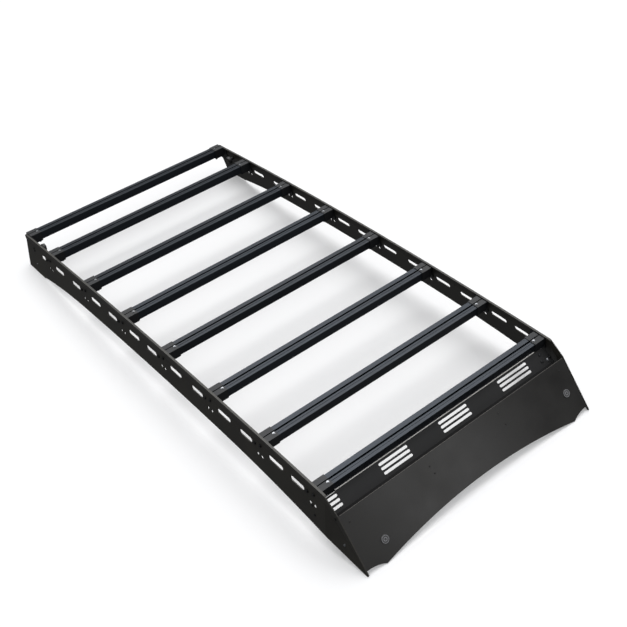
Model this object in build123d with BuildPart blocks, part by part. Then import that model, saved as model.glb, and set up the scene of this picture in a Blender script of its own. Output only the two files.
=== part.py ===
import os
from math import asin, atan2, cos, degrees, hypot, radians, sin, tan

from build123d import *

# Roof rack: two folded side plates carry eight slotted crossbars in end brackets, with a sloping wind
# deflector and a slotted vent panel at the front. X runs across, +Y to the rear, Z up from the floor.
# Stations run to the rear from the front bend of the side plates' crest, heights up from the crest's chord.

# Side plates: sheet that stands upright along the crest and leans out below a fold
WIDTH = 1170.0  # over the upright walls
PLATE = 4.0  # sheet thickness
TOP_LENGTH = 2318.0  # chord of the crest
CROWN = 28.0  # rise of the crest over its chord
FOLD_DROP = 32.0  # fold line under the crest
LEAN = 10.2  # degrees
BROW = (-66.0, -51.0)  # second bend of the front
NOSE = (-220.5, -252.3)
TOE = (-18.0, -178.0)  # where the underside turns down to the nose
BELLY_FRONT = (613.0, -123.0)
BELLY_MIDDLE = (TOP_LENGTH / 2 + 21.0, -113.0)
BELLY_REAR = (TOP_LENGTH - 568.0, -121.0)
HEEL_STEP = (TOP_LENGTH - 193.0, -157.5)
HEEL_FRONT = (TOP_LENGTH - 180.0, -163.0)
HEEL_REAR = (TOP_LENGTH - 16.0, -164.0)
BEND_RADIUS = 25.0
FOOT_RADIUS = 5.0  # nose tip and heel, on which the rack rests
CORNER_RADIUS = 10.0

# Crossbars: hollow extrusions with a T-slot and a groove along the top
FRONT_BAR = 51.5  # station of the front bar's middle
BAYS = (312.0, 329.0, 343.5, 329.0, 336.5, 352.5, 235.5)  # pitches of the bars from the front, in proportion
BAR_DEPTH = 52.0
BAR_HEIGHT = 38.0
BAR_DROP = 8.0  # bar's top under the crest
LAST_BAR_DROP = -2.0  # the last bar stands proud
BAR_WALL = 2.4
T_SLOT = 1.0  # centre line, to the rear of the bar's middle
NECK = 8.5
CHANNEL = 17.0
CHANNEL_HEIGHT = 7.0
LIP = 2.6
GROOVE = 3.0
GROOVE_DEPTH = 1.2
GROOVE_PLACE = -13.0

# End brackets: a sleeve round each bar end and a leg along the side plate
JOINT_GAP = 0.3  # between curved faces of plate and leg
SLEEVE = 2.5  # sheet thickness
SLEEVE_LENGTH = 55.0
SLEEVE_SLIT = 5.0
LEG = 5.0
LEG_TOP = 5.0  # under the crest
LEG_DROP = 76.0
LEG_LONG = 22.0  # reach beyond the bar
LEG_SHORT = 4.0
LEG_CHAMFER = 12.0

# Openings in the side plates
SLOT_HEIGHT = 20.0
SLOT_DROP = 57.5  # slots' centre line under the crest
LONG_SLOT = 86.0
LONG_SLOT_GAP = 20.0  # ahead of the bar
SHORT_SLOT = 78.0
SHORT_SLOT_GAP = 31.5  # behind the bar
REAR_SLOT = 40.0
FOOT_HOLE_DROP = 89.0  # level pairs of holes for the roof feet
FOOT_HOLE_RADIUS = 7.0
FOOT_HOLE_PITCH = 26.0
FOOT_HOLE_OFFSET = 5.0  # pair's middle, behind the bar's middle

# Deflector
SHEET = 3.0
FACE_RECESS = 1.0  # behind the side plates' front edges
FACE_TOP = 3.0  # top edge, down the slope from the brow
ARCH_INSET = 84.0  # arch's end, in from the side plate
ARCH_END_DROP = 243.0
ARCH_TOP_DROP = 193.0
NOTCH_DROP = 222.0
NOTCH_MIDDLE = (51.0, 229.0)  # in from the side plate, and down the slope
FLANGE = 30.0  # side flanges, back along the side plates
CAP_PLACES = ((117.0, 167.0), (62.0, 130.0))  # round caps, left and right: in from the side plate, and down
CAP_RADIUS = 16.5
CAP_HEIGHT = 3.0
CAP_CHAMFER = 0.8

# Vent panel
VENT_ANGLE = 38.0
VENT_LENGTH = 120.0
VENT_LEDGE = 24.0  # flange under the front bar
VENT_NOTCH = 5.0  # upper corners are cut back from the bar's sleeves
VENT_CLEARANCE = 1.5  # to the sleeves and legs
VENT_ROWS = (17.4, 35.4, 54.0)
VENT_SLOT_HEIGHT = 10.5
VENT_GROUPS = ((-0.943, 47.0), (-0.439, 140.0), (0.089, 148.0), (0.655, 163.0))  # share of the half width, length
VENT_FLANGE = 20.0  # down at each end
VENT_FLANGE_START = 10.0

HALF = WIDTH / 2
INNER = HALF - PLATE
LEG_OUTSIDE = PLATE + JOINT_GAP
LEG_INSIDE = LEG_OUTSIDE + LEG
bar_half = HALF - LEG_INSIDE
CREST_RADIUS = (TOP_LENGTH**2 / 4 + CROWN**2) / (2 * CROWN)
CREST_CENTRE = (TOP_LENGTH / 2, CROWN - CREST_RADIUS)

# Side plate's outline, drawn with stations across and heights up
with BuildSketch() as outline:
    with BuildLine():
        crest = ThreePointArc((0, 0), (TOP_LENGTH / 2, CROWN), (TOP_LENGTH, 0))
        belly = ThreePointArc(BELLY_FRONT, BELLY_MIDDLE, BELLY_REAR)
        rear_rise = TangentArc(belly @ 1, HEEL_STEP, tangent=belly % 1)
        Polyline(rear_rise @ 1, HEEL_FRONT, HEEL_REAR, crest @ 1)
        front_rise = TangentArc(belly @ 0, TOE, tangent=-(belly % 0))
        Polyline(front_rise @ 1, NOSE, BROW, crest @ 0)
    make_face()
    for corner, radius in (
        (BROW, BEND_RADIUS),
        ((0, 0), BEND_RADIUS),
        (NOSE, FOOT_RADIUS),
        (HEEL_REAR, FOOT_RADIUS),
        ((TOP_LENGTH, 0), CORNER_RADIUS),
    ):
        fillet(outline.vertices().sort_by_distance(corner)[0], radius)

# The rack rests on the rounds of nose and heel, with its box centred over the origin
rounds = [edge.arc_center for edge in outline.edges().filter_by(GeomType.CIRCLE).sort_by(SortBy.RADIUS)[:2]]
nose_round, heel_round = sorted(rounds, key=lambda point: point.X)
rest_slope = atan2(heel_round.Y - nose_round.Y, heel_round.X - nose_round.X)
rest_box = (Rot(0, 0, -degrees(rest_slope)) * outline.sketch).bounding_box()
deck = Plane(
    origin=(0, -rest_box.center().X, -rest_box.min.Y),
    x_dir=(0, cos(rest_slope), -sin(rest_slope)),
    z_dir=(1, 0, 0),
)


def crest_turn(station):
    """Slant of the crest at a station, in radians, falling to the rear."""
    return asin((station - TOP_LENGTH / 2) / CREST_RADIUS)


def under_crest(station, drop):
    """Place in the side view at a drop under the crest, slanted as the crest is there."""
    turn = crest_turn(station)
    reach = CREST_RADIUS - drop
    return Location((CREST_CENTRE[0] + reach * sin(turn), CREST_CENTRE[1] + reach * cos(turn)), -degrees(turn))


def seat(station):
    """Plane that touches the crest at a station: X across, Y to the rear, Z up from the crest."""
    turn = crest_turn(station)
    place = under_crest(station, 0).position
    return Plane(
        origin=deck.from_local_coords((place.X, place.Y, 0)),
        x_dir=(1, 0, 0),
        z_dir=deck.x_dir * sin(turn) + deck.y_dir * cos(turn),
    )


def wall_at(inset, drop):
    """How far from the middle the side wall stands at a drop under the crest."""
    fold = FOLD_DROP + inset * tan(radians(LEAN / 2))
    return HALF - inset + max(0, drop - fold) * tan(radians(LEAN))


bar_run = TOP_LENGTH - SLEEVE - BAR_DEPTH / 2 - FRONT_BAR
bar_middles = [FRONT_BAR + bar_run * sum(BAYS[:count]) / sum(BAYS) for count in range(len(BAYS) + 1)]
bar_drops = [BAR_DROP] * len(BAYS) + [LAST_BAR_DROP]

with BuildSketch() as plate_face:
    add(outline.sketch)
    for ahead, behind in zip(bar_middles[:-2], bar_middles[1:-1]):
        with Locations(under_crest(behind - (BAR_DEPTH + LONG_SLOT) / 2 - LONG_SLOT_GAP, SLOT_DROP)):
            SlotOverall(LONG_SLOT, SLOT_HEIGHT, mode=Mode.SUBTRACT)
        with Locations(under_crest(ahead + (BAR_DEPTH + SHORT_SLOT) / 2 + SHORT_SLOT_GAP, SLOT_DROP)):
            SlotOverall(SHORT_SLOT, SLOT_HEIGHT, mode=Mode.SUBTRACT)
    with Locations(under_crest(bar_middles[-2] + (BAR_DEPTH + REAR_SLOT) / 2 + SHORT_SLOT_GAP, SLOT_DROP)):
        SlotOverall(REAR_SLOT, SLOT_HEIGHT, mode=Mode.SUBTRACT)
    for middle in bar_middles[:-1]:
        with Locations(Location(under_crest(middle + FOOT_HOLE_OFFSET, FOOT_HOLE_DROP).position, degrees(rest_slope))):
            with GridLocations(FOOT_HOLE_PITCH, 0, 2, 1):
                Circle(FOOT_HOLE_RADIUS, mode=Mode.SUBTRACT)

os.makedirs("parts", exist_ok=True)


def keep(part, label):
    """Names a finished piece and writes it."""
    part.label = label
    export_step(part, f"parts/{label}.step")


# Bodies inboard of the side wall, swept round the crest's centre; the lower part is cut by the nose facet,
# a flat that runs from the fold's front end to the toe and the nose
SPINE = HALF - 60.0
BODY_TOP = 5.0
body_depth = BAR_DEPTH - NOSE[1]
body_end = seat(TOP_LENGTH + 60)
body_section = Plane(origin=body_end.origin, x_dir=(1, 0, 0), z_dir=-body_end.y_dir)
body_sweep = degrees(crest_turn(TOP_LENGTH + 60) - crest_turn(NOSE[0] - 60))
crest_axis = Axis(deck.from_local_coords((*CREST_CENTRE, 0)), (1, 0, 0))
toe_drop = CREST_RADIUS - hypot(TOE[0] - CREST_CENTRE[0], TOE[1] - CREST_CENTRE[1])
fold_end = deck.from_local_coords((0, -FOLD_DROP, HALF))
toe_corner = deck.from_local_coords((*TOE, wall_at(0, toe_drop)))
nose_tip = deck.from_local_coords((*NOSE, HALF))
nose_facet = Plane(
    origin=fold_end,
    x_dir=nose_tip - fold_end,
    z_dir=(nose_tip - fold_end).cross(toe_corner - fold_end),
)


def wall_body(inset):
    """All that lies inboard of the side wall's outer face moved in by an inset."""
    fold = FOLD_DROP + inset * tan(radians(LEAN / 2))
    with BuildPart() as body:
        with BuildSketch(body_section):
            with BuildLine():
                Polyline(
                    (SPINE, -fold),
                    (HALF - inset, -fold),
                    (wall_at(inset, body_depth), -body_depth),
                    (SPINE, -body_depth),
                    close=True,
                )
            make_face()
        revolve(axis=crest_axis, revolution_arc=body_sweep)
        split(bisect_by=nose_facet.offset(-inset), keep=Keep.BOTTOM)
        with BuildSketch(body_section):
            with Locations((SPINE, BODY_TOP)):
                Rectangle(HALF - inset - SPINE, BODY_TOP + body_depth, align=(Align.MIN, Align.MAX))
        revolve(axis=crest_axis, revolution_arc=body_sweep)
    return body.part


# Side plates, with a return lip along the crest
with BuildPart() as side_plate:
    add(wall_body(0))
    add(wall_body(PLATE), mode=Mode.SUBTRACT)
    with BuildSketch(body_section):
        with Locations((HALF, BODY_TOP)):
            Rectangle(LEG_INSIDE, BODY_TOP + PLATE, align=(Align.MAX, Align.MAX))
    revolve(axis=crest_axis, revolution_arc=body_sweep)
    with BuildSketch(deck.offset(SPINE)):
        add(plate_face.sketch)
    extrude(amount=2 * (HALF - SPINE), mode=Mode.INTERSECT)
keep(mirror(side_plate.part, about=Plane.YZ), "side_plate_left")
keep(side_plate.part, "side_plate_right")

# Crossbar, modelled with its top's middle on the origin
with BuildPart() as crossbar:
    with BuildSketch(Plane.YZ.offset(-bar_half)):
        with Locations((0, -BAR_HEIGHT / 2)):
            Rectangle(BAR_DEPTH, BAR_HEIGHT)
            Rectangle(BAR_DEPTH - 2 * BAR_WALL, BAR_HEIGHT - 2 * BAR_WALL, mode=Mode.SUBTRACT)
        with Locations((T_SLOT, 0)):
            Rectangle(CHANNEL + 2 * BAR_WALL, LIP + CHANNEL_HEIGHT + BAR_WALL, align=(Align.CENTER, Align.MAX))
            Rectangle(NECK, LIP, align=(Align.CENTER, Align.MAX), mode=Mode.SUBTRACT)
        with Locations((T_SLOT, -LIP)):
            Rectangle(CHANNEL, CHANNEL_HEIGHT, align=(Align.CENTER, Align.MAX), mode=Mode.SUBTRACT)
        with Locations((GROOVE_PLACE, 0)):
            Rectangle(GROOVE, GROOVE_DEPTH, align=(Align.CENTER, Align.MAX), mode=Mode.SUBTRACT)
    extrude(amount=2 * bar_half)


def end_bracket(drop, ahead, behind):
    """Right-hand bracket for a bar at a drop under the crest; its leg reaches ahead of and behind the bar."""
    with BuildPart() as bracket:
        with BuildSketch(Plane.XZ.offset(-BAR_DEPTH / 2 - behind)):
            with BuildLine():
                Polyline(
                    (HALF - LEG_OUTSIDE, -LEG_TOP),
                    (HALF - LEG_OUTSIDE, -FOLD_DROP - LEG_OUTSIDE * tan(radians(LEAN / 2))),
                    (wall_at(LEG_OUTSIDE, LEG_DROP), -LEG_DROP),
                    (wall_at(LEG_INSIDE, LEG_DROP), -LEG_DROP),
                    (HALF - LEG_INSIDE, -FOLD_DROP - LEG_INSIDE * tan(radians(LEAN / 2))),
                    (HALF - LEG_INSIDE, -LEG_TOP),
                    close=True,
                )
            make_face()
        extrude(amount=behind + BAR_DEPTH + ahead)
        with BuildSketch(Plane.YZ.offset(SPINE)) as leg_outline:
            with Locations((BAR_DEPTH / 2 + behind, -LEG_TOP)):
                Rectangle(behind + BAR_DEPTH + ahead, LEG_DROP - LEG_TOP, align=(Align.MAX, Align.MAX))
            chamfer(leg_outline.vertices().sort_by(Axis.Y)[:2], LEG_CHAMFER)
        extrude(amount=2 * (HALF - SPINE), mode=Mode.INTERSECT)
        with BuildSketch(Plane.YZ.offset(bar_half - SLEEVE_LENGTH)):
            with Locations((0, -drop - BAR_HEIGHT / 2)):
                Rectangle(BAR_DEPTH + 2 * SLEEVE, BAR_HEIGHT + 2 * SLEEVE)
                Rectangle(BAR_DEPTH, BAR_HEIGHT, mode=Mode.SUBTRACT)
            with Locations((T_SLOT, -drop)):
                Rectangle(SLEEVE_SLIT, SLEEVE, align=(Align.CENTER, Align.MIN), mode=Mode.SUBTRACT)
        extrude(amount=SLEEVE_LENGTH)
    return bracket.part


common_bracket = end_bracket(BAR_DROP, LEG_SHORT, LEG_LONG)
last_bracket = end_bracket(LAST_BAR_DROP, LEG_LONG, SLEEVE)
for number, (middle, drop) in enumerate(zip(bar_middles, bar_drops), start=1):
    place = seat(middle).location
    bracket = common_bracket if drop == BAR_DROP else last_bracket
    keep(place * Pos(0, 0, -drop) * crossbar.part, f"crossbar_{number}")
    keep(place * bracket, f"bar_bracket_right_{number}")
    keep(place * mirror(bracket, about=Plane.YZ), f"bar_bracket_left_{number}")

# Deflector: a flat sheet down the front slope, with side flanges bent back
brow_point = deck.from_local_coords((*BROW, 0))
face_down = (deck.from_local_coords((*NOSE, 0)) - brow_point).normalized()
face_out = face_down.cross(Vector(1, 0, 0))
face_plane = Plane(origin=brow_point - face_out * (SHEET + FACE_RECESS), x_dir=(1, 0, 0), z_dir=face_out)
arch_end = INNER - ARCH_INSET
with BuildPart() as deflector:
    with BuildSketch(face_plane):
        with BuildLine():
            Polyline((-INNER, -NOTCH_DROP), (-INNER, -FACE_TOP), (INNER, -FACE_TOP), (INNER, -NOTCH_DROP))
            ThreePointArc((-arch_end, -ARCH_END_DROP), (0, -ARCH_TOP_DROP), (arch_end, -ARCH_END_DROP))
            for side in (-1, 1):
                ThreePointArc(
                    (side * INNER, -NOTCH_DROP),
                    (side * (INNER - NOTCH_MIDDLE[0]), -NOTCH_MIDDLE[1]),
                    (side * arch_end, -ARCH_END_DROP),
                )
        make_face()
    extrude(amount=SHEET)
    with BuildSketch(face_plane):
        for side in (-1, 1):
            with Locations((side * (INNER - SHEET / 2), -FACE_TOP)):
                Rectangle(SHEET, NOTCH_DROP - FACE_TOP, align=(Align.CENTER, Align.MAX))
    extrude(amount=-FLANGE)
keep(deflector.part, "deflector")

# Round caps on the deflector
for (label, side), (inset, drop) in zip((("left", -1), ("right", 1)), CAP_PLACES):
    with BuildPart() as cap:
        with BuildSketch(face_plane.offset(SHEET)):
            with Locations((side * (INNER - inset), -drop)):
                Circle(CAP_RADIUS)
        extrude(amount=CAP_HEIGHT)
        chamfer(cap.faces().sort_by(Axis(face_plane.origin, face_out))[-1].edges(), CAP_CHAMFER)
    keep(cap.part, f"deflector_cap_{label}")

# Vent panel: hangs from the front bar by a ledge and slopes down behind the deflector, with rows of slots
vent_half = bar_half - VENT_CLEARANCE
vent_neck = bar_half - SLEEVE_LENGTH - VENT_CLEARANCE
bar_underside = seat(FRONT_BAR).offset(-BAR_DROP - BAR_HEIGHT)
vent_down = -deck.x_dir * cos(radians(VENT_ANGLE)) - deck.y_dir * sin(radians(VENT_ANGLE))
vent_plane = Plane(
    origin=bar_underside.from_local_coords((0, -BAR_DEPTH / 2, 0)),
    x_dir=(1, 0, 0),
    z_dir=vent_down.cross(Vector(1, 0, 0)),
)
with BuildPart() as vent_panel:
    with BuildSketch(bar_underside):
        with Locations((0, -BAR_DEPTH / 2)):
            Rectangle(2 * vent_neck, VENT_LEDGE, align=(Align.CENTER, Align.MIN))
    extrude(amount=-SHEET)
    with BuildSketch(vent_plane):
        Rectangle(2 * vent_neck, VENT_LENGTH, align=(Align.CENTER, Align.MAX))
        with Locations((0, -VENT_NOTCH)):
            Rectangle(2 * vent_half, VENT_LENGTH - VENT_NOTCH, align=(Align.CENTER, Align.MAX))
        for row in VENT_ROWS:
            for centre, length in VENT_GROUPS:
                with Locations((centre * vent_half, -row)):
                    SlotOverall(length, VENT_SLOT_HEIGHT, mode=Mode.SUBTRACT)
    extrude(amount=-SHEET)
    with BuildSketch(vent_plane):
        for side in (-1, 1):
            with Locations((side * (vent_half - SHEET / 2), -VENT_FLANGE_START)):
                Rectangle(SHEET, VENT_LENGTH - VENT_FLANGE_START, align=(Align.CENTER, Align.MAX))
    extrude(amount=-VENT_FLANGE)
keep(vent_panel.part, "vent_panel")
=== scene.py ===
from math import asin, cos, pi, radians, sin

import bmesh
import bpy
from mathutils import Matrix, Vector


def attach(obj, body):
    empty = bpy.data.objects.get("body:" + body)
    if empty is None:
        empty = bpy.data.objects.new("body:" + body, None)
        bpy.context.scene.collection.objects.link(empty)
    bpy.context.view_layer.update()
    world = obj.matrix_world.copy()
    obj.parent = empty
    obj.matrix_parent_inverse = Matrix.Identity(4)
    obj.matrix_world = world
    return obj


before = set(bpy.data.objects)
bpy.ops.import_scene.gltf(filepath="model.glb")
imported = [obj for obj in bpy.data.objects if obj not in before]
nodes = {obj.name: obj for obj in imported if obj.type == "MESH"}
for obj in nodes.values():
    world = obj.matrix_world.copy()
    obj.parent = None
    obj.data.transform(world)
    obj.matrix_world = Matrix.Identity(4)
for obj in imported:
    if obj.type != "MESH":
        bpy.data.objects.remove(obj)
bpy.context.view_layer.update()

# Camera: looks down the rack from its front left, a little rolled, as the photograph does.
camera_data = bpy.data.cameras.new("camera")
camera_data.lens = 58.171
camera_data.shift_x = -0.0079
camera_data.shift_y = 0.0006
camera = bpy.data.objects.new("camera", camera_data)
camera.location = (-1.88113, -2.90439, 2.96352)
camera.rotation_euler = (radians(49.7884), radians(4.0495), radians(-39.3545))
bpy.context.scene.collection.objects.link(camera)
bpy.context.scene.camera = camera
bpy.context.scene.view_settings.view_transform = "Standard"


# Studio floor: a seamless white sweep that glows a little, so that shadows on it stay pale.
# It is kept out of the rack's reflections, as a cleared background is in a catalogue picture.
def linear(sheet_colour):
    """sRGB hex to the linear colour that a shader takes."""
    parts = [int(sheet_colour[i : i + 2], 16) / 255 for i in (1, 3, 5)]
    return [c / 12.92 if c <= 0.04045 else ((c + 0.055) / 1.055) ** 2.4 for c in parts] + [1]


floor_half = 120.0
floor_corners = [(x * floor_half, y * floor_half, 0) for x, y in ((-1, -1), (1, -1), (1, 1), (-1, 1))]
floor_mesh = bpy.data.meshes.new("floor")
floor_mesh.from_pydata(floor_corners, [], [(0, 1, 2, 3)])
floor = bpy.data.objects.new("floor", floor_mesh)
bpy.context.scene.collection.objects.link(floor)
floor.visible_diffuse = False
floor.visible_glossy = False
sweep = bpy.data.materials.new("white_studio_sweep")
sweep.use_nodes = True
shader = sweep.node_tree.nodes["Principled BSDF"]
shader.inputs["Base Color"].default_value = linear("#cecece")
shader.inputs["Roughness"].default_value = 1.0
shader.inputs["Specular IOR Level"].default_value = 0.0
shader.inputs["Emission Color"].default_value = linear("#ffffff")
shader.inputs["Emission Strength"].default_value = 0.23
floor_mesh.materials.append(sweep)


# Studio light: a broad soft source overhead, a small one ahead for the sheen on the middle of the deflector,
# and a dim room that is darkest near the horizon.
def add_node(tree, kind, links=(), **settings):
    """Adds a node; settings name its sockets or properties, links are (its socket, from node, from socket)."""
    made = tree.nodes.new(kind)
    for name, value in settings.items():
        if hasattr(made, name):
            setattr(made, name, value)
    for name, value in settings.items():
        if not hasattr(made, name):
            made.inputs[name.replace("_", " ")].default_value = value
    for socket, source, output in links:
        tree.links.new(source.outputs[output], made.inputs[socket])
    return made


front_light = bpy.data.lights.new("front_softbox", "AREA")
front_light.energy = 5.0
front_light.size = 0.9
front_place, front_aim = Vector((1.15, -3.6, 1.05)), Vector((-0.15, -1.2, 0.1))
front_source = bpy.data.objects.new("front_softbox", front_light)
front_source.location = front_place
front_source.rotation_euler = (front_place - front_aim).to_track_quat("Z", "Y").to_euler()
bpy.context.scene.collection.objects.link(front_source)
soft_light = bpy.data.lights.new("overhead_softbox", "SUN")
soft_light.energy = 2.4
soft_light.angle = radians(60)
soft_source = bpy.data.objects.new("overhead_softbox", soft_light)
soft_source.rotation_euler = (radians(-22), radians(14), 0)
bpy.context.scene.collection.objects.link(soft_source)

room = bpy.data.worlds.new("studio")
bpy.context.scene.world = room
room.use_nodes = True
tree = room.node_tree
direction = add_node(tree, "ShaderNodeTexCoord")
height = add_node(tree, "ShaderNodeSeparateXYZ", [("Vector", direction, "Generated")])
glow = add_node(
    tree, "ShaderNodeMapRange", [("Value", height, "Z")], From_Min=0.30, From_Max=0.85, To_Min=0.13, To_Max=0.95
)
tree.nodes["Background"].inputs["Color"].default_value = linear("#fbfcff")
tree.links.new(glow.outputs["Result"], tree.nodes["Background"].inputs["Strength"])


# Side plates: 4 mm aluminium sheet, folded along the crest, pierced, and coated with fine textured black powder.
# The powder's grain is about 0.3 mm; it is drawn at 2 mm, as coarse as it needs to show.
def painted(name, colour, pale_colour, roughness, grain_mm, depth_mm, metallic=0.0, stretch=(1, 1, 1)):
    """A coat whose grain varies its colour, gloss and height; stretch draws the grain out along an axis."""
    cloud_mm, gloss_spread = 140, 0.05
    material = bpy.data.materials.new(name)
    material.use_nodes = True
    tree = material.node_tree
    shader = tree.nodes["Principled BSDF"]
    shader.inputs["Metallic"].default_value = metallic
    place = add_node(tree, "ShaderNodeTexCoord")
    drawn = add_node(tree, "ShaderNodeMapping", [("Vector", place, "Object")], Scale=stretch)
    grain = add_node(
        tree, "ShaderNodeTexNoise", [("Vector", drawn, "Vector")], Scale=1000 / grain_mm, Detail=2.0, Roughness=0.6
    )
    cloud = add_node(tree, "ShaderNodeTexNoise", [("Vector", drawn, "Vector")], Scale=1000 / cloud_mm, Detail=3.0)
    speck = add_node(tree, "ShaderNodeMath", [(0, grain, "Fac"), (1, cloud, "Fac")], operation="MULTIPLY")
    share = add_node(tree, "ShaderNodeMapRange", [("Value", speck, "Value")], From_Min=0.15, From_Max=0.36)
    tone = add_node(tree, "ShaderNodeValToRGB", [("Fac", share, "Result")])
    tone.color_ramp.elements[0].color = linear(colour)
    tone.color_ramp.elements[1].color = linear(pale_colour)
    tree.links.new(tone.outputs["Color"], shader.inputs["Base Color"])
    gloss = add_node(
        tree,
        "ShaderNodeMapRange",
        [("Value", cloud, "Fac")],
        From_Min=0.3,
        From_Max=0.7,
        To_Min=roughness - gloss_spread,
        To_Max=roughness + gloss_spread,
    )
    tree.links.new(gloss.outputs["Result"], shader.inputs["Roughness"])
    relief = add_node(tree, "ShaderNodeBump", [("Height", grain, "Fac")], Strength=0.5, Distance=depth_mm / 1000)
    tree.links.new(relief.outputs["Normal"], shader.inputs["Normal"])
    return material


def finish(names, material):
    """Gives CAD nodes a material in place of their plain one."""
    for name in names:
        slots = nodes[name].data.materials
        slots.clear()
        slots.append(material)


flanks = ((-1, "left"), (1, "right"))
plate_coat = painted(
    "textured_black_powder_on_plate", "#24231f", "#33312b", roughness=0.46, grain_mm=2.0, depth_mm=0.12
)
finish([f"side_plate_{flank}" for _, flank in flanks], plate_coat)

# Crossbars: extruded aluminium with a T-slot, sawn to length and anodised black.
# Anodising leaves the metal's sheen under a blue-black film, with faint die lines along the bar.
bar_film = painted(
    "black_anodised_extrusion",
    "#20242a",
    "#2a3037",
    roughness=0.36,
    grain_mm=3.0,
    depth_mm=0.01,
    metallic=0.55,
    stretch=(0.02, 1, 1),
)
finish([name for name in nodes if name.startswith("crossbar")], bar_film)

# End brackets: pressed aluminium sheet, a sleeve round the bar and a leg on the side plate.
# They are coated in a smooth, dull black powder before assembly.
bracket_coat = painted(
    "smooth_black_powder_on_bracket", "#0c0e11", "#15181c", roughness=0.55, grain_mm=3.0, depth_mm=0.03
)
finish([name for name in nodes if name.startswith("bar_bracket")], bracket_coat)

# Deflector: 3 mm sheet, bent and arched, in a textured powder a little glossier than the side plates'.
# It lies open to the front light, so its middle shows a broad sheen.
panel_coat = painted(
    "textured_black_powder_on_deflector", "#191817", "#252422", roughness=0.33, grain_mm=2.0, depth_mm=0.08
)
finish(["deflector"], panel_coat)

# Vent panel: 3 mm sheet with rows of slots, hung under the front bar by a ledge.
# Its matt black powder throws back little light.
vent_coat = painted("matt_black_powder_on_vent", "#070708", "#0d0d0d", roughness=0.62, grain_mm=2.0, depth_mm=0.10)
finish(["vent_panel"], vent_coat)

# Deflector's caps: two round caps of moulded grey rubber on the deflector's face, one toward each end.
# Rubber looks dull and a little paler than the coat round it.
cap_rubber = painted("moulded_grey_rubber", "#3a3a3a", "#4a4a4a", roughness=0.6, grain_mm=2.0, depth_mm=0.05)
finish(["deflector_cap_left", "deflector_cap_right"], cap_rubber)

# Bolts of the end brackets: button heads outside on the side plates, hexagon nuts inside on the legs.
# They are black-passivated steel, made by the same rule as every fastener here: washer, head and crown.
crest_length, crown = 2318.0, 28.0  # chord of the side plates' crest, and its rise over the chord
deck_back, deck_up, rest_slope = 1048.277, 239.733, 0.0330196  # where the rack's feet set the chord on the floor
crest_radius = (crest_length**2 / 4 + crown**2) / (2 * crown)
bar_stations = (51.5, 363.5, 692.5, 1036.0, 1365.0, 1701.5, 2054.0, 2289.5)  # bars' middles, from the crest's front
outside, inside = 900, 450  # mm from the middle, where a way across to a plate or a leg starts
sharp_angle = radians(35)  # edges that turn more than this stay crisp


def on_deck(across, station, height):
    """A place by its station and its height over the crest's chord, in mm, as the model's metres."""
    back = station * cos(rest_slope) + height * sin(rest_slope) - deck_back
    up = height * cos(rest_slope) - station * sin(rest_slope) + deck_up
    return Vector((across, back, up)) / 1000


def under_crest(across, station, drop):
    """A place by its station and its drop under the crest, square to the crest."""
    turn = asin((station - crest_length / 2) / crest_radius)
    reach = crest_radius - drop
    return on_deck(across, crest_length / 2 + reach * sin(turn), crown - crest_radius + reach * cos(turn))


def landing(node, start, way):
    """Where a straight way from a start first meets a node, and which way that surface faces."""
    hit, place, facing, _ = nodes[node].ray_cast(start, way, depsgraph=bpy.context.evaluated_depsgraph_get())
    return (place, facing) if hit else None


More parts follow.
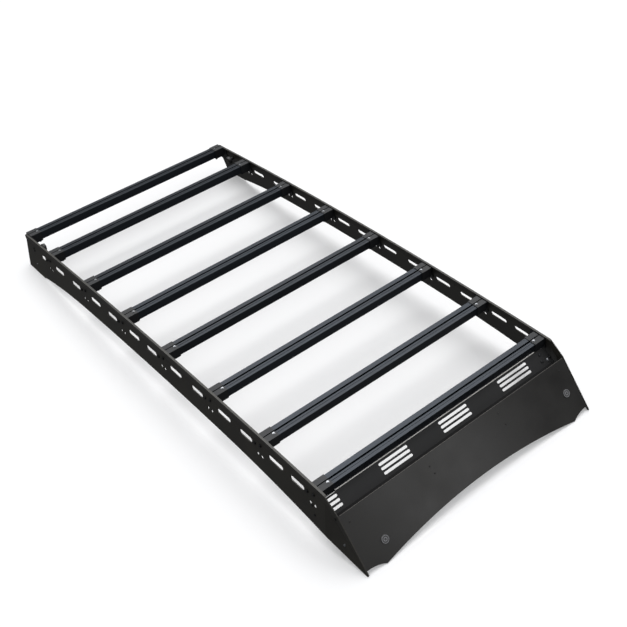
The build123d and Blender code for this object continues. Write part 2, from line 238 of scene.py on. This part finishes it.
def fasteners(name, places, material, sides, **sizes):
    """Screws, nuts or rivets on places, each a point and the way it faces; sizes are in mm."""
    points = bpy.data.meshes.new(name)
    points.from_pydata([place for place, _ in places], [], [])
    facing = points.attributes.new("facing", "FLOAT_VECTOR", "POINT")
    for row, (_, way) in zip(facing.data, places):
        row.vector = way
    piece = bpy.data.objects.new(name, points)
    bpy.context.scene.collection.objects.link(piece)

    tree = bpy.data.node_groups.new(name, "GeometryNodeTree")
    tree.interface.new_socket("Geometry", in_out="INPUT", socket_type="NodeSocketGeometry")
    sockets = {}
    for label in ("Washer Radius", "Washer Height", "Head Radius", "Head Height", "Crown Radius", "Crown Height"):
        sockets[label] = tree.interface.new_socket(label, in_out="INPUT", socket_type="NodeSocketFloat")
    sockets["Sides"] = tree.interface.new_socket("Sides", in_out="INPUT", socket_type="NodeSocketInt")
    sockets["Finish"] = tree.interface.new_socket("Finish", in_out="INPUT", socket_type="NodeSocketMaterial")
    tree.interface.new_socket("Geometry", in_out="OUTPUT", socket_type="NodeSocketGeometry")
    given = add_node(tree, "NodeGroupInput")
    washer = add_node(
        tree,
        "GeometryNodeMeshCone",
        [
            ("Radius Top", given, "Washer Radius"),
            ("Radius Bottom", given, "Washer Radius"),
            ("Depth", given, "Washer Height"),
        ],
        Vertices=24,
    )
    head = add_node(
        tree,
        "GeometryNodeMeshCone",
        [
            ("Vertices", given, "Sides"),
            ("Radius Top", given, "Head Radius"),
            ("Radius Bottom", given, "Head Radius"),
            ("Depth", given, "Head Height"),
        ],
    )
    crown_cone = add_node(
        tree,
        "GeometryNodeMeshCone",
        [
            ("Vertices", given, "Sides"),
            ("Radius Top", given, "Crown Radius"),
            ("Radius Bottom", given, "Head Radius"),
            ("Depth", given, "Crown Height"),
        ],
    )
    head_foot = add_node(tree, "ShaderNodeCombineXYZ", [("Z", given, "Washer Height")])
    raised_head = add_node(
        tree, "GeometryNodeTransform", [("Geometry", head, "Mesh"), ("Translation", head_foot, "Vector")]
    )
    crown_height = add_node(
        tree, "ShaderNodeMath", [(0, given, "Washer Height"), (1, given, "Head Height")], operation="ADD"
    )
    crown_foot = add_node(tree, "ShaderNodeCombineXYZ", [("Z", crown_height, "Value")])
    raised_crown = add_node(
        tree, "GeometryNodeTransform", [("Geometry", crown_cone, "Mesh"), ("Translation", crown_foot, "Vector")]
    )
    whole = add_node(tree, "GeometryNodeJoinGeometry")
    for part, output in ((washer, "Mesh"), (raised_head, "Geometry"), (raised_crown, "Geometry")):
        tree.links.new(part.outputs[output], whole.inputs["Geometry"])
    way = add_node(tree, "GeometryNodeInputNamedAttribute", data_type="FLOAT_VECTOR", Name="facing")
    turned = add_node(tree, "FunctionNodeAlignRotationToVector", [("Vector", way, "Attribute")], axis="Z")
    spread = add_node(
        tree,
        "GeometryNodeInstanceOnPoints",
        [("Points", given, "Geometry"), ("Instance", whole, "Geometry"), ("Rotation", turned, "Rotation")],
    )
    real = add_node(tree, "GeometryNodeRealizeInstances", [("Geometry", spread, "Instances")])
    coated = add_node(
        tree, "GeometryNodeSetMaterial", [("Geometry", real, "Geometry"), ("Material", given, "Finish")]
    )
    add_node(tree, "NodeGroupOutput", [("Geometry", coated, "Geometry")])

    maker = piece.modifiers.new("fasteners", "NODES")
    maker.node_group = tree
    for label, size in sizes.items():
        maker[sockets[label.replace("_", " ")].identifier] = size / 1000
    maker[sockets["Sides"].identifier] = sides
    maker[sockets["Finish"].identifier] = material
    made = bpy.data.meshes.new_from_object(piece.evaluated_get(bpy.context.evaluated_depsgraph_get()))
    piece.modifiers.clear()
    piece.data = made
    made.shade_smooth()
    made.set_sharp_from_angle(angle=sharp_angle)
    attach(piece, "root")


black_steel = painted(
    "black_passivated_steel", "#1c1c1d", "#303133", roughness=0.34, grain_mm=1.5, depth_mm=0.02, metallic=0.6
)
leg_bolts = ((7.0, 44.0), (41.0, 53.0))  # behind the bar's middle, and under the crest
outer_places, inner_places = [], []
for side, flank in flanks:
    for number, station in enumerate(bar_stations[:-1], start=1):
        for behind, drop in leg_bolts:
            start = under_crest(side * outside, station + behind, drop)
            outer_places.append(landing(f"side_plate_{flank}", start, Vector((-side, 0, 0))))
            start = under_crest(side * inside, station + behind, drop)
            inner_places.append(landing(f"bar_bracket_{flank}_{number}", start, Vector((side, 0, 0))))
fasteners(
    "bracket_bolts_outside",
    outer_places,
    black_steel,
    sides=24,
    Washer_Radius=8.0,
    Washer_Height=1.2,
    Head_Radius=6.5,
    Head_Height=2.0,
    Crown_Radius=4.2,
    Crown_Height=1.8,
)
fasteners(
    "bracket_nuts_inside",
    [place for place in inner_places if place],
    black_steel,
    sides=6,
    Washer_Radius=8.0,
    Washer_Height=1.2,
    Head_Radius=7.0,
    Head_Height=5.0,
    Crown_Radius=5.6,
    Crown_Height=0.8,
)

# Bolts of the crossbars: one through each sleeve just ahead of the bar's slot, with a small bright head above.
# Head and washer are stainless steel; the nut and the bolt's end show under the clamp plate.
stainless = painted(
    "stainless_steel", "#8b8d90", "#a8aaad", roughness=0.3, grain_mm=1.0, depth_mm=0.02, metallic=1.0
)
bolt_across, bolt_behind = 532.0, -9.0
sleeve, bar_height, clamp_height = 2.5, 38.0, 6.0
bar_drops = (8.0,) * 7 + (-2.0,)  # bars' tops under the crest; the last stands proud of it
tops, undersides = [], []
for side, _ in flanks:
    for station, drop in zip(bar_stations, bar_drops):
        turn = asin((station - crest_length / 2) / crest_radius) + rest_slope
        up = Vector((0, sin(turn), cos(turn)))
        clamp_foot = drop + bar_height + sleeve + clamp_height
        tops.append((under_crest(side * bolt_across, station + bolt_behind, drop - sleeve), up))
        undersides.append((under_crest(side * bolt_across, station + bolt_behind, clamp_foot), -up))
fasteners(
    "sleeve_bolts",
    tops,
    stainless,
    sides=6,
    Washer_Radius=5.5,
    Washer_Height=1.0,
    Head_Radius=4.4,
    Head_Height=2.4,
    Crown_Radius=3.6,
    Crown_Height=0.5,
)
fasteners(
    "sleeve_nuts",
    undersides,
    black_steel,
    sides=6,
    Washer_Radius=8.5,
    Washer_Height=1.4,
    Head_Radius=7.0,
    Head_Height=6.0,
    Crown_Radius=3.5,
    Crown_Height=3.0,
)


# Clamp plates: flat aluminium plates in the brackets' black powder, one under each sleeve.
# The sleeve's bolt draws each one up against the sleeve's underside.
def closed_piece(name, build, material):
    """Turns a built closed mesh into a piece of the rack."""
    bmesh.ops.recalc_face_normals(build, faces=build.faces)
    made = bpy.data.meshes.new(name)
    build.to_mesh(made)
    build.free()
    made.materials.append(material)
    made.shade_smooth()
    made.set_sharp_from_angle(angle=sharp_angle)
    piece = bpy.data.objects.new(name, made)
    bpy.context.scene.collection.objects.link(piece)
    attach(piece, "root")


inner_end, outer_end = 521, 573  # mm from the rack's middle
front_edge, rear_edge = -24, 22  # mm behind the bar's middle
clamp = bmesh.new()
for side, _ in flanks:
    for station, drop in zip(bar_stations, bar_drops):
        top = drop + bar_height + sleeve
        corners = [
            clamp.verts.new(under_crest(side * across, station + behind, depth))
            for depth in (top, top + clamp_height)
            for across, behind in (
                (inner_end, front_edge),
                (outer_end, front_edge),
                (outer_end, rear_edge),
                (inner_end, rear_edge),
            )
        ]
        upper, lower = corners[:4], corners[4:]
        clamp.faces.new(upper)
        clamp.faces.new(lower)
        for n, after in ((0, 1), (1, 2), (2, 3), (3, 0)):
            clamp.faces.new((upper[n], upper[after], lower[after], lower[n]))
closed_piece("sleeve_clamp_plates", clamp, bracket_coat)

# Rivets of the deflector: small domed blind rivets, painted over with the sheet.
# They stand on its front face, one near each end and a pair on each side of its middle.
nose, brow = (-220.5, -252.3), (-66.0, -51.0)  # station and height of the side plates' foot and front bend
face_down = Vector((0, nose[0] - brow[0], nose[1] - brow[1])).normalized()
face_out = Vector((0, face_down.z, -face_down.y))
face_recess = 1.0  # mm behind the side plates' front edges


def on_face(across, down, out):
    """A place on the deflector: across, down the slope from its brow, and out from its front face, in mm."""
    station = brow[0] + face_down.y * down + face_out.y * (out - face_recess)
    height = brow[1] + face_down.z * down + face_out.z * (out - face_recess)
    return on_deck(across, station, height)


face_way = (on_face(0, 0, 10) - on_face(0, 0, 0)).normalized()
rivet_places = ((-552, 40), (535, 38), (-174, 47), (-167, 79), (193, 36), (201, 86))  # across, and down the slope
fasteners(
    "deflector_rivets",
    [(on_face(across, down, 0), face_way) for across, down in rivet_places],
    panel_coat,
    sides=16,
    Washer_Radius=3.6,
    Washer_Height=0.5,
    Head_Radius=3.2,
    Head_Height=0.5,
    Crown_Radius=1.6,
    Crown_Height=0.7,
)

# Screws of the side plates' nose and tail: low button heads of black-passivated steel, by station and drop.
# On each plate two are bright stainless steel, one near the nose's foot and one low in the rear bay.
dark_screws = ((-57, 74), (59, 95), (40, 128), (2237, 47), (2231, 58), (2078, 48))
bright_screws = ((-109, 162), (2219, 125))
for name, places, steel in (
    ("plate_screws_dark", dark_screws, black_steel),
    ("plate_screws_bright", bright_screws, stainless),
):
    landings = [
        landing(f"side_plate_{flank}", under_crest(side * outside, station, drop), Vector((-side, 0, 0)))
        for side, flank in flanks
        for station, drop in places
    ]
    fasteners(
        name,
        [place for place in landings if place],
        steel,
        sides=20,
        Washer_Radius=5.2,
        Washer_Height=0.8,
        Head_Radius=4.6,
        Head_Height=1.4,
        Crown_Radius=2.8,
        Crown_Height=1.2,
    )

# Tie eyes: a round moulded eye stands off the inner face of each side plate in the rear bay, on a short post.
# A worn steel ring is set in its inner face.
eye_station, eye_drop = 2192, 38
eye_rubber = painted("black_moulded_eye", "#0d0e0f", "#17181a", roughness=0.5, grain_mm=2.0, depth_mm=0.05)
eye_places = [
    landing(f"side_plate_{flank}", under_crest(side * inside, eye_station, eye_drop), Vector((side, 0, 0)))
    for side, flank in flanks
]
fasteners(
    "tie_eyes",
    eye_places,
    eye_rubber,
    sides=40,
    Washer_Radius=9.0,
    Washer_Height=20.0,
    Head_Radius=21.0,
    Head_Height=14.0,
    Crown_Radius=18.0,
    Crown_Height=2.0,
)


def rings(name, shapes, material):
    """Closed flat rings, each a centre and an axis with its inner and outer radius and its height in mm."""
    steps, chamfer, straight = 40, 0.5, 0.6  # chamfer in mm, and the share of the height that is below it
    build = bmesh.new()
    for centre, axis, inner, outer, height in shapes:
        turn = Vector((0, 0, 1)).rotation_difference(axis).to_matrix()
        corners = (
            (inner, 0),
            (outer, 0),
            (outer, height * straight),
            (outer - chamfer, height),
            (inner + chamfer, height),
        )
        sections = []
        for step in range(steps):
            way = turn @ Vector((cos(2 * pi * step / steps), sin(2 * pi * step / steps), 0))
            sections.append([build.verts.new(centre + (way * reach + axis * rise) / 1000) for reach, rise in corners])
        for section, after in zip(sections, sections[1:] + sections[:1]):
            for corner in range(len(section)):
                build.faces.new((section[corner - 1], section[corner], after[corner], after[corner - 1]))
    closed_piece(name, build, material)


ring_lift = 35.5  # mm from the plate, just inside the eye's crown
ring_inner, ring_outer, ring_height = 5.5, 10.5, 1.4
ring_steel = painted(
    "worn_steel_ring", "#57564f", "#77756c", roughness=0.45, grain_mm=2.0, depth_mm=0.02, metallic=0.7
)
rings(
    "tie_eye_rings",
    [
        (place + facing * (ring_lift / 1000), facing, ring_inner, ring_outer, ring_height)
        for place, facing in eye_places
    ],
    ring_steel,
)

# Rings of the deflector's caps: moulded rubber ridges on each grey cap, paler than the cap.
# There is a wide one at the rim and a narrow one inside it.
ridge_rubber = painted(
    "pale_grey_rubber_ridge", "#77777a", "#929295", roughness=0.5, grain_mm=2.0, depth_mm=0.03
)
cap_places = ((-464, 167), (519, 130))  # across, and down the slope
cap_face, ridge_height = 1.9, 1.2
ridge_radii = ((12.6, 15.4), (4.6, 8.2))
rings(
    "cap_rings",
    [
        (on_face(across, down, cap_face), face_way, inner, outer, ridge_height)
        for across, down in cap_places
        for inner, outer in ridge_radii
    ],
    ridge_rubber,
)


# Edges of the vent panel and the deflector: a rounded fold under the front bar, coloured near white as a painted
# highlight, a fold at the deflector's brow, coloured paler than the deflector as a fainter painted highlight, and a
# black strip on the vent panel between the two, painted shade that shows as a dark band.
def across_strip(name, profile, half_length, material):
    """A closed strip across the rack from a profile of (y, z) points, all in mm."""
    build = bmesh.new()
    left, right = (
        [build.verts.new((x / 1000, y / 1000, z / 1000)) for y, z in profile] for x in (-half_length, half_length)
    )
    build.faces.new(left)
    build.faces.new(right)
    for corner in range(len(profile)):
        build.faces.new((left[corner - 1], left[corner], right[corner], right[corner - 1]))
    closed_piece(name, build, material)


def bead(middle, radius):
    """An eight-sided round profile about a (y, z) point, in mm."""
    return [(middle[0] + radius * cos(pi * n / 4), middle[1] + radius * sin(pi * n / 4)) for n in range(8)]


vent_half, brow_half, shade_strip_half = 517, 576, 560  # mm from the rack's middle to each end
vent_fold, brow_fold = (-1022.2, 194.1), (-1116.6, 187.4)
ahead, above = 0.8, 0.1  # mm from the vent panel's fold to its bead's middle
vent_bead = bead((vent_fold[0] - ahead, vent_fold[1] + above), radius=2.0)
# Near-white colour of the vent fold's bead: a painted highlight along the edge.
vent_fold_highlight = painted("painted_highlight_on_vent_fold", "#e2dfd9", "#f2efe9", roughness=0.4, grain_mm=3.0, depth_mm=0.02)
across_strip("vent_upper_fold", vent_bead, vent_half, vent_fold_highlight)
brow_bead = bead(brow_fold, radius=1.0)
# Colour of the brow's bead, paler than the deflector: a painted highlight along its edge.
brow_highlight = painted("painted_highlight_on_deflector_brow", "#4a4744", "#5c5955", roughness=0.4, grain_mm=3.0, depth_mm=0.02)
across_strip("deflector_upper_fold", brow_bead, brow_half, brow_highlight)
# Black strip on the vent panel: painted shade in the gap above the deflector's brow.
shade_strip_coat = painted("painted_shade_in_brow_gap", "#040404", "#070707", roughness=0.9, grain_mm=1.5, depth_mm=0.05)
shade_strip_profile = [(-1080.4, 151.7), (-1093.3, 142.3), (-1094.2, 143.5), (-1081.3, 152.9)]
across_strip("painted_shade_band", shade_strip_profile, shade_strip_half, shade_strip_coat)

# Screws at the right end of the vent panel: three black steel ones that fix its end, and a bright stainless one.
# All have hexagon heads on washers.
vent_down = Vector((0, -0.808, -0.589))
vent_way = Vector((0, vent_down.z, -vent_down.y))


def on_vent(across, down):
    """A place on the vent panel: across, and down the slope from its upper fold, in mm."""
    return Vector((across, vent_fold[0] + vent_down.y * down, vent_fold[1] + vent_down.z * down)) / 1000


for name, places, steel in (
    ("vent_screws_dark", ((532, 22), (524, 50), (568, 50)), black_steel),
    ("vent_screw_bright", ((553, 54),), stainless),
):
    fasteners(
        name,
        [(on_vent(across, down), vent_way) for across, down in places],
        steel,
        sides=6,
        Washer_Radius=6.5,
        Washer_Height=1.0,
        Head_Radius=5.0,
        Head_Height=2.6,
        Crown_Radius=4.0,
        Crown_Height=0.6,
    )
